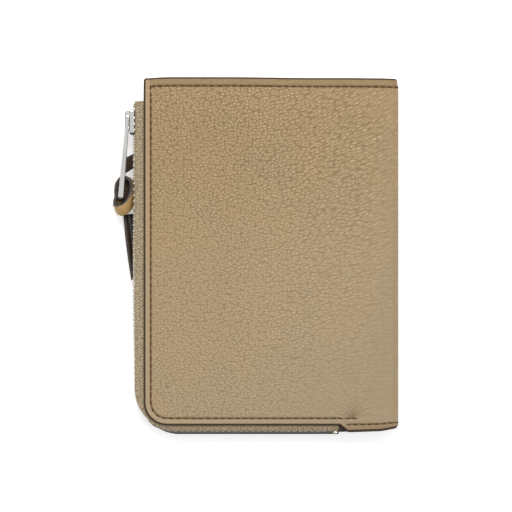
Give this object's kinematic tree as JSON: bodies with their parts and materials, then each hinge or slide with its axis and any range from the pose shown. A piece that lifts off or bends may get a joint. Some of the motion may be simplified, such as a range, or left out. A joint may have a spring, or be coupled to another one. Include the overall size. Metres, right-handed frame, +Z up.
{
  "type": "folding wallet with zip compartment",
  "caption": "Flat folding leather wallet: a card half and a half with an L-shaped zip compartment, joined by a spine, with a ring and leather thong as the zip pull.",
  "frame": {"origin": "middle of the front cover's underside, on which the closed wallet lies", "axes": "+X towards the spine, +Y towards the closed stitched edge, +Z up through the closed wallet's thickness to the zip half's cover"},
  "size_m": [0.0968, 0.1185, 0.0141],
  "materials": {
    "cover_leather": "pebbled grain, matte",
    "inner_leather": "smooth, matte",
    "lining_fabric": "woven",
    "stiffener_board": "matte",
    "zip_tape": "herringbone weave",
    "zip_teeth": "pale satin",
    "polished_metal": "polished",
    "thong_leather": "smooth outside, dark painted edges"
  },
  "bodies": {
    "card_half": {"front_cover": "cover_leather", "front_lining": "lining_fabric", "note_pocket_wall": "inner_leather", "card_panel_1": "inner_leather", "card_panel_2": "inner_leather", "card_panel_3": "inner_leather"},
    "spine": {"spine_cover": "cover_leather", "spine_lining": "lining_fabric"},
    "zip_half": {"back_cover": "cover_leather", "inner_wall": "inner_leather", "slip_pocket": "inner_leather", "outer_lining": "lining_fabric", "inner_lining": "lining_fabric", "outer_stiffener": "stiffener_board", "inner_stiffener": "stiffener_board", "top_gusset": "cover_leather", "bottom_gusset": "cover_leather", "spine_gusset": "lining_fabric", "zip_tape_outer": "zip_tape", "zip_tape_inner": "zip_tape", "zip_teeth_outer": "zip_teeth", "zip_teeth_inner": "zip_teeth", "zip_top_stops": "zip_teeth", "zip_bottom_stop": "zip_teeth"},
    "slider": {"slider_body": "polished_metal", "slider_bail": "polished_metal"},
    "puller": {"pull_ring": "polished_metal", "strap_loop": "thong_leather", "strap_knot": "thong_leather", "strap_core": "thong_leather", "strap_tongue": "thong_leather"},
    "strap_tails": {"strap_tail_long": "thong_leather", "strap_tail_short": "thong_leather"}
  },
  "joints": [
    {"name": "fold_front", "type": "hinge", "parent": "card_half", "child": "spine", "pos_m": [0.0413, 0, 0.0012], "axis": [0, 1, 0], "range_deg": [0, 90]},
    {"name": "fold_back", "type": "hinge", "parent": "spine", "child": "zip_half", "pos_m": [0.0413, 0, 0.0129], "axis": [0, 1, 0], "range_deg": [0, 90]},
    {"name": "slider_run", "type": "slide", "parent": "zip_half", "child": "slider", "axis": [0, -1, 0], "range_m": [0, 0.082], "deforming": ["zip_teeth_outer", "zip_teeth_inner"]},
    {"name": "puller_swing", "type": "hinge", "parent": "slider", "child": "puller", "pos_m": [-0.04785, 0.04715, 0.0097], "axis": [0, 0, -1], "range_deg": [0, 150]},
    {"name": "strap_swing", "type": "hinge", "parent": "puller", "child": "strap_tails", "pos_m": [-0.04761, 0.0141, 0.0032], "axis": [0, 0, -1], "range_deg": [0, 45]}
  ],
  "couplings": [
    {"joint": "fold_back", "follows": "fold_front", "ratio": 1}
  ]
}
